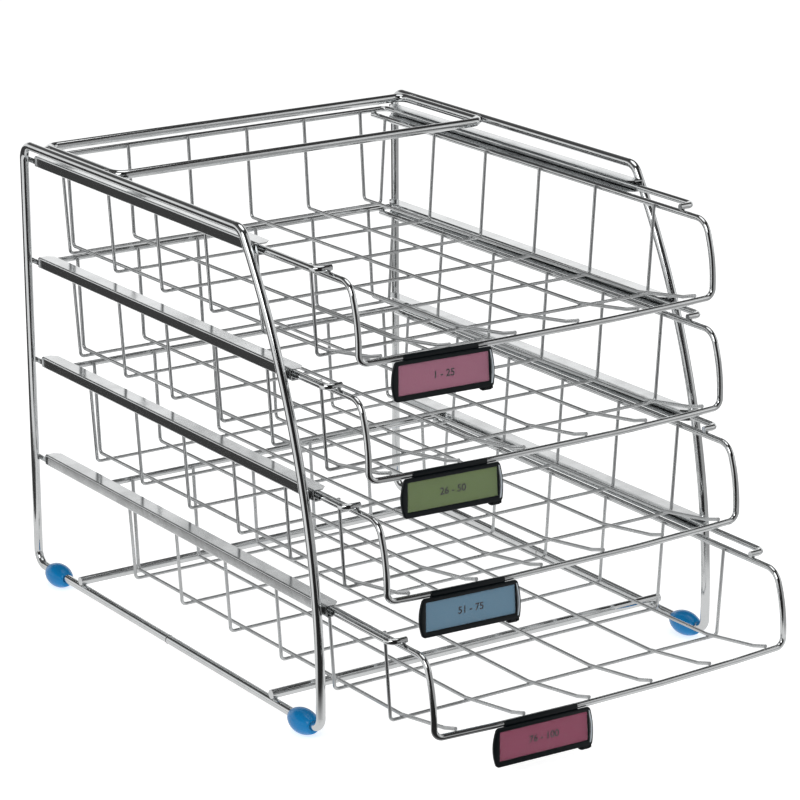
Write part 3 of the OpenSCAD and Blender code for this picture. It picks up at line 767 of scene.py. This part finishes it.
class LETTER_TRAY_OT_holders(Operator):
    """Moulds the label holders, with their clips and thumb tabs, and lays in cards and windows"""
    bl_idname = "letter_tray.holders"
    bl_label = "Add Label Holders"

    def execute(self, context):
        s = context.scene.label_sizes
        tones = context.scene.tray_colours
        plastic = moulded("satin_black_plastic", tones.holder, rough=0.36, grain=1900.0, depth=0.12,
                          coat=0.10, shine=0.25)
        frosted = moulded("frosted_edge", tones.strip, rough=0.3, grain=1500.0, depth=0.05,
                          coat=0.2)
        clear = film("clear_film")
        holder = self.holder(s)
        sheet, pane = self.inlay(s)
        strip = self.strip(s)
        for level in LEVELS:
            card = paper(f"card_paper_{level}", getattr(tones, f"card_{level}"))
            for name, grids, finish, slot, node in (
                ("moulded_holder", holder, plastic, "holder_plastic", "holder"),
                ("card_sheet", [sheet], card, f"card_{level}", "card"),
                ("clear_window", [pane], clear, "window_plastic", "window"),
                ("window_edge", [strip], frosted, "window_plastic", None),
            ):
                placed = [set_in(grid, level) for grid in grids]
                made = piece(f"{name}_{level}", placed, finish, f"label_{level}")
                if node:
                    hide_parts(f"label_{level}_{node}")
        return {"FINISHED"}

    def holder(self, s):
        """The plate with its pocket, the thumb tab under its right corner, and the clip, whose wall
        runs round the front of the bar and leaves a slit open at the back."""
        left, right, bottom, top, front = label_plate(s)
        plate = lean_in(slab((left, right, bottom, top), -s.plate_back, front, s.corner, s.edge,
                             (s.bulge_left, s.bulge_right), label_pocket(s),
                             front + s.pocket_t), s)
        tab_right, tab_radius, overlap = right - s.tab_inset, 2.2 * MM, 1.2 * MM
        tab = slab((tab_right - s.tab_w, tab_right, bottom - s.tab_drop, bottom + overlap),
                   -s.plate_back - 0.15 * MM, front + 0.05 * MM, tab_radius, s.edge)
        wall_from, wall_to = math.radians(120), math.radians(320)
        tube = split_tube(s.clip_len / 2, s.clip_bore, s.clip_wall, wall_from, wall_to)
        return [plate, tab, tube + [s.clip_shift, 0, 0]]

    def strip(self, s):
        """The clear window's pale edge, along the right side of the plate, inside a black rail."""
        _, right, bottom, top, front = label_plate(s)
        under, over, proud, depth = 2.2 * MM, 1.6 * MM, 0.07 * MM, 1.0 * MM
        right -= s.rail_w
        rect = (right - s.strip_w, right, bottom + under, top - over)
        return lean_in(slab(rect, front + depth, front - proud, 0.4 * MM, 0.05 * MM,
                            (-s.bulge_right, s.bulge_right)), s)

    def inlay(self, s):
        """The card on the pocket's floor, and the window on the card."""
        x0, x1, z0, z1 = label_pocket(s)
        play, air, seat = 0.15 * MM, 0.12 * MM, 0.03 * MM
        rect = (x0 + play, x1 - play, z0 + play, z1 - play)
        floor = label_plate(s)[-1] + s.pocket_t
        face = card_face(s)
        return (slab(rect, floor - seat, face, 0.3 * MM, 0.05 * MM),
                slab(rect, face - air, face - air - s.window_t, 0.6 * MM, 0.12 * MM))


class LETTER_TRAY_OT_numbers(Operator):
    """Prints a plain range of numbers on each card"""
    bl_idname = "letter_tray.numbers"
    bl_label = "Add Numbers"

    def execute(self, context):
        s = context.scene.label_sizes
        black = ink("card_ink", context.scene.tray_colours.ink)
        x0, x1, z0, z1 = label_pocket(s)
        middle_x, middle_z = (x0 + x1) / 2, (z0 + z1) / 2
        proud, ink_half, stroke, per_tray = 0.03 * MM, 0.02 * MM, 0.14 * MM, 25
        for level in LEVELS:
            text = bpy.data.curves.new(f"number_{level}", "FONT")
            text.body = f"{per_tray * (level - 1) + 1} - {per_tray * level}"
            text.size = s.digit
            text.align_x, text.align_y = "CENTER", "CENTER"
            text.extrude, text.offset = ink_half, stroke
            written = bpy.data.objects.new("written", text)
            context.scene.collection.objects.link(written)
            mesh = bpy.data.meshes.new_from_object(
                written.evaluated_get(context.evaluated_depsgraph_get()))
            bpy.data.objects.remove(written)
            flat = np.empty(len(mesh.vertices) * 3, np.float32)
            mesh.vertices.foreach_get("co", flat)
            flat = flat.reshape(-1, 3).astype(float)
            drawn = np.stack([flat[:, 0] + middle_x, card_face(s) - proud - flat[:, 2],
                              flat[:, 1] + middle_z], axis=-1)
            mesh.vertices.foreach_set("co", set_in(drawn, level).astype(np.float32).ravel())
            mesh.materials.clear()
            mesh.materials.append(black)
            mesh.update()
            number = bpy.data.objects.new(f"card_number_{level}", mesh)
            context.scene.collection.objects.link(number)
            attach(number, f"label_{level}")
        return {"FINISHED"}


class LETTER_TRAY_OT_stage(Operator):
    """Sets the pale floor, the soft lamps, the surroundings and the camera"""
    bl_idname = "letter_tray.stage"
    bl_label = "Set Stage"

    def execute(self, context):
        studio = context.scene.studio
        self.floor(context, studio)
        self.surroundings(context, studio)
        self.lamp(context, "key_lamp", (-1.7, -0.9, 1.5), 1.3, studio.key)
        self.lamp(context, "fill_lamp", (1.8, -1.2, 1.2), 1.9, studio.fill)
        self.lamp(context, "top_lamp", (0.1, 0.2, 2.1), 1.5, studio.top)
        self.camera(context, studio)
        context.scene.view_settings.view_transform = "Standard"
        return {"FINISHED"}

    def lamp(self, context, name, place, size, power):
        """A round soft lamp, aimed at the middle of the object."""
        middle = Vector((0, 0, 0.15))
        light = bpy.data.lights.new(name, "AREA")
        light.shape, light.size, light.energy = "DISK", size, power
        made = bpy.data.objects.new(name, light)
        made.location = place
        made.rotation_mode = "QUATERNION"
        made.rotation_quaternion = (middle - Vector(place)).to_track_quat("-Z", "Y")
        context.scene.collection.objects.link(made)

    def floor(self, context, studio):
        """A white floor, with the object's shadow kept. Metal sees a white table of limited size on
        it. Past the table the studio is bright at the left and behind, grey at the right, and dark
        towards the camera and past the table's left edge."""
        table_tone, glow_tone, edge_blur = 0.75, 0.68, 0.0008
        reach, points = 6.0, 9
        finish = Finish(bpy.data.materials.new("white_floor"))
        where = finish.node("ShaderNodeTexCoord", out="Object")
        far = finish.node("ShaderNodeVectorMath", {"operation": "LENGTH"}, {0: where}, out="Value")
        way = finish.node("ShaderNodeVectorMath", {"operation": "NORMALIZE"}, {0: where})
        across = finish.node("ShaderNodeSeparateXYZ", None, {"Vector": where}, out="X")
        along = finish.node("ShaderNodeSeparateXYZ", None, {"Vector": where}, out="Y")
        dust = finish.noise(where, 30.0, 3.0)
        metal = finish.node("ShaderNodeLightPath", out="Is Glossy Ray")
        past = finish.ramp(far, studio.table * 0.8, studio.table)
        seen = table_tone + past * (self.walls(finish, way) - table_tone)
        towards = self.facing(finish, way, CAMERA_SIDE)
        seen = seen * (1 - 0.97 * finish.ramp(towards, 0.80, 0.90) * finish.ramp(far, 0.2, 0.3))
        left = 1 - finish.ramp(across, -studio.table_left - edge_blur,
                               edge_blur - studio.table_left)
        seen = seen * (1 - 0.94 * left * finish.ramp(along + 0.8 * across, -0.30, -0.20))
        glow = finish.node("ShaderNodeEmission", None, {
            "Color": (1, 1, 1, 1), "Strength": glow_tone * (1 - metal) + seen * metal})
        dusty = finish.mix(dust * 0.1, (0.8,) * 3, (0.76,) * 3)
        matt = finish.node("ShaderNodeBsdfDiffuse", None,
                           {"Color": finish.mix(metal, dusty, (0.0,) * 3)})
        both = finish.node("ShaderNodeAddShader", None, {0: glow, 1: matt})
        finish.node("ShaderNodeOutputMaterial", None, {"Surface": both})
        steps = np.linspace(-reach, reach, points)
        x, y = np.meshgrid(steps, steps)
        mesh = bpy.data.meshes.new("floor")
        mesh.from_pydata(np.stack([x, y, 0 * x], axis=-1).reshape(-1, 3), [],
                         grid_faces(points, points, False))
        mesh.materials.append(finish.owner)
        made = bpy.data.objects.new("floor", mesh)
        context.scene.collection.objects.link(made)

    def surroundings(self, context, studio):
        """White for the camera. Metal sees a light tent that is dark overhead, with a dark opening
        at the camera's side and a dimmer right side. Everything else is lit by an even white."""
        world = bpy.data.worlds.new("light_tent")
        context.scene.world = world
        finish = Finish(world)
        way = finish.node("ShaderNodeTexCoord", out="Generated")
        opening = self.facing(finish, way, DARK_OPENING)
        height = finish.node("ShaderNodeSeparateXYZ", None, {"Vector": way}, out="Z")
        tent = self.walls(finish, way) * (1 - 0.90 * finish.ramp(height, 0.28, 0.46))
        tent = tent * (1 - 0.97 * finish.ramp(opening, 0.74, 0.88))
        metal = finish.node("ShaderNodeLightPath", out="Is Glossy Ray")
        camera = finish.node("ShaderNodeLightPath", out="Is Camera Ray")
        clear = finish.node("ShaderNodeLightPath", out="Is Transmission Ray")
        seen = finish.node("ShaderNodeMath", {"operation": "MAXIMUM"}, {0: camera, 1: clear})
        rest = studio.air * (1 - metal) + tent * metal
        tone = finish.node("ShaderNodeBackground", None,
                           {"Color": (1, 1, 1, 1), "Strength": rest * (1 - seen) + seen})
        finish.node("ShaderNodeOutputWorld", None, {"Surface": tone})

    def walls(self, finish, way):
        """The studio's brightness round the object: grey, brighter at the left and behind."""
        left = self.facing(finish, way, LEFT_WALL)
        behind = self.facing(finish, way, REAR_WALL)
        return finish.node("ShaderNodeMath", {"operation": "MAXIMUM"},
                           {0: 0.38 + 0.45 * finish.ramp(left, 0.1, 0.7),
                            1: finish.ramp(behind, 0.35, 0.8)})

    def facing(self, finish, way, direction):
        """How closely a way points in a direction, from -1 to 1."""
        aim = Vector(direction).normalized()
        return finish.node("ShaderNodeVectorMath", {"operation": "DOT_PRODUCT"},
                           {0: way, 1: tuple(aim)}, out="Value")

    def camera(self, context, studio):
        """Stands where the photograph was taken from. Its right and up directions are turned about
        the view by the roll."""
        post_y, rail_z = stand_place()[:2]
        forward = unit(np.array(VIEW))
        right = unit(np.cross(forward, [0, 0, 1]))
        up = np.cross(right, forward)
        across = math.cos(ROLL) * right + math.sin(ROLL) * up
        above = math.cos(ROLL) * up - math.sin(ROLL) * right
        lens = bpy.data.cameras.new("camera")
        lens.lens = studio.focal
        lens.clip_start, lens.clip_end = 0.05, 60.0
        made = bpy.data.objects.new("camera", lens)
        turn = Matrix(np.stack([across, above, -forward], axis=-1).tolist()).to_4x4()
        place = np.array(CAMERA_FROM) + [0, post_y, rail_z]
        made.matrix_world = Matrix.Translation(place) @ turn
        context.scene.collection.objects.link(made)
        context.scene.camera = made


class LETTER_TRAY_PT_panel(Panel):
    """Lists the sizes, the colours and the steps"""
    bl_idname = "LETTER_TRAY_PT_panel"
    bl_label = "Letter Trays"
    bl_space_type = "VIEW_3D"
    bl_region_type = "UI"
    bl_category = "Letter Trays"

    def draw(self, context):
        for group in GROUPS:
            box = self.layout.box()
            box.label(text=group.__doc__)
            for key in group.__annotations__:
                box.prop(getattr(context.scene, GROUPS[group]), key)
        for operator in OPERATORS:
            self.layout.operator(operator.bl_idname)


GROUPS = {
    StandSizes: "stand_sizes",
    TraySizes: "tray_sizes",
    LabelSizes: "label_sizes",
    Colours: "tray_colours",
    Studio: "studio",
}
OPERATORS = (
    LETTER_TRAY_OT_finishes,
    LETTER_TRAY_OT_tray_welds,
    LETTER_TRAY_OT_stand_welds,
    LETTER_TRAY_OT_feet,
    LETTER_TRAY_OT_holders,
    LETTER_TRAY_OT_numbers,
    LETTER_TRAY_OT_stage,
)


def register():
    for group, name in GROUPS.items():
        bpy.utils.register_class(group)
        setattr(bpy.types.Scene, name, PointerProperty(type=group))
    for each in (*OPERATORS, LETTER_TRAY_PT_panel):
        bpy.utils.register_class(each)


def unregister():
    for each in (LETTER_TRAY_PT_panel, *reversed(OPERATORS)):
        bpy.utils.unregister_class(each)
    for group, name in GROUPS.items():
        delattr(bpy.types.Scene, name)
        bpy.utils.unregister_class(group)


def main():
    """Builds everything in order."""
    register()
    bpy.ops.letter_tray.finishes()
    bpy.ops.letter_tray.tray_welds()
    bpy.ops.letter_tray.stand_welds()
    bpy.ops.letter_tray.feet()
    bpy.ops.letter_tray.holders()
    bpy.ops.letter_tray.numbers()
    bpy.ops.letter_tray.stage()


if __name__ == "__main__":
    main()
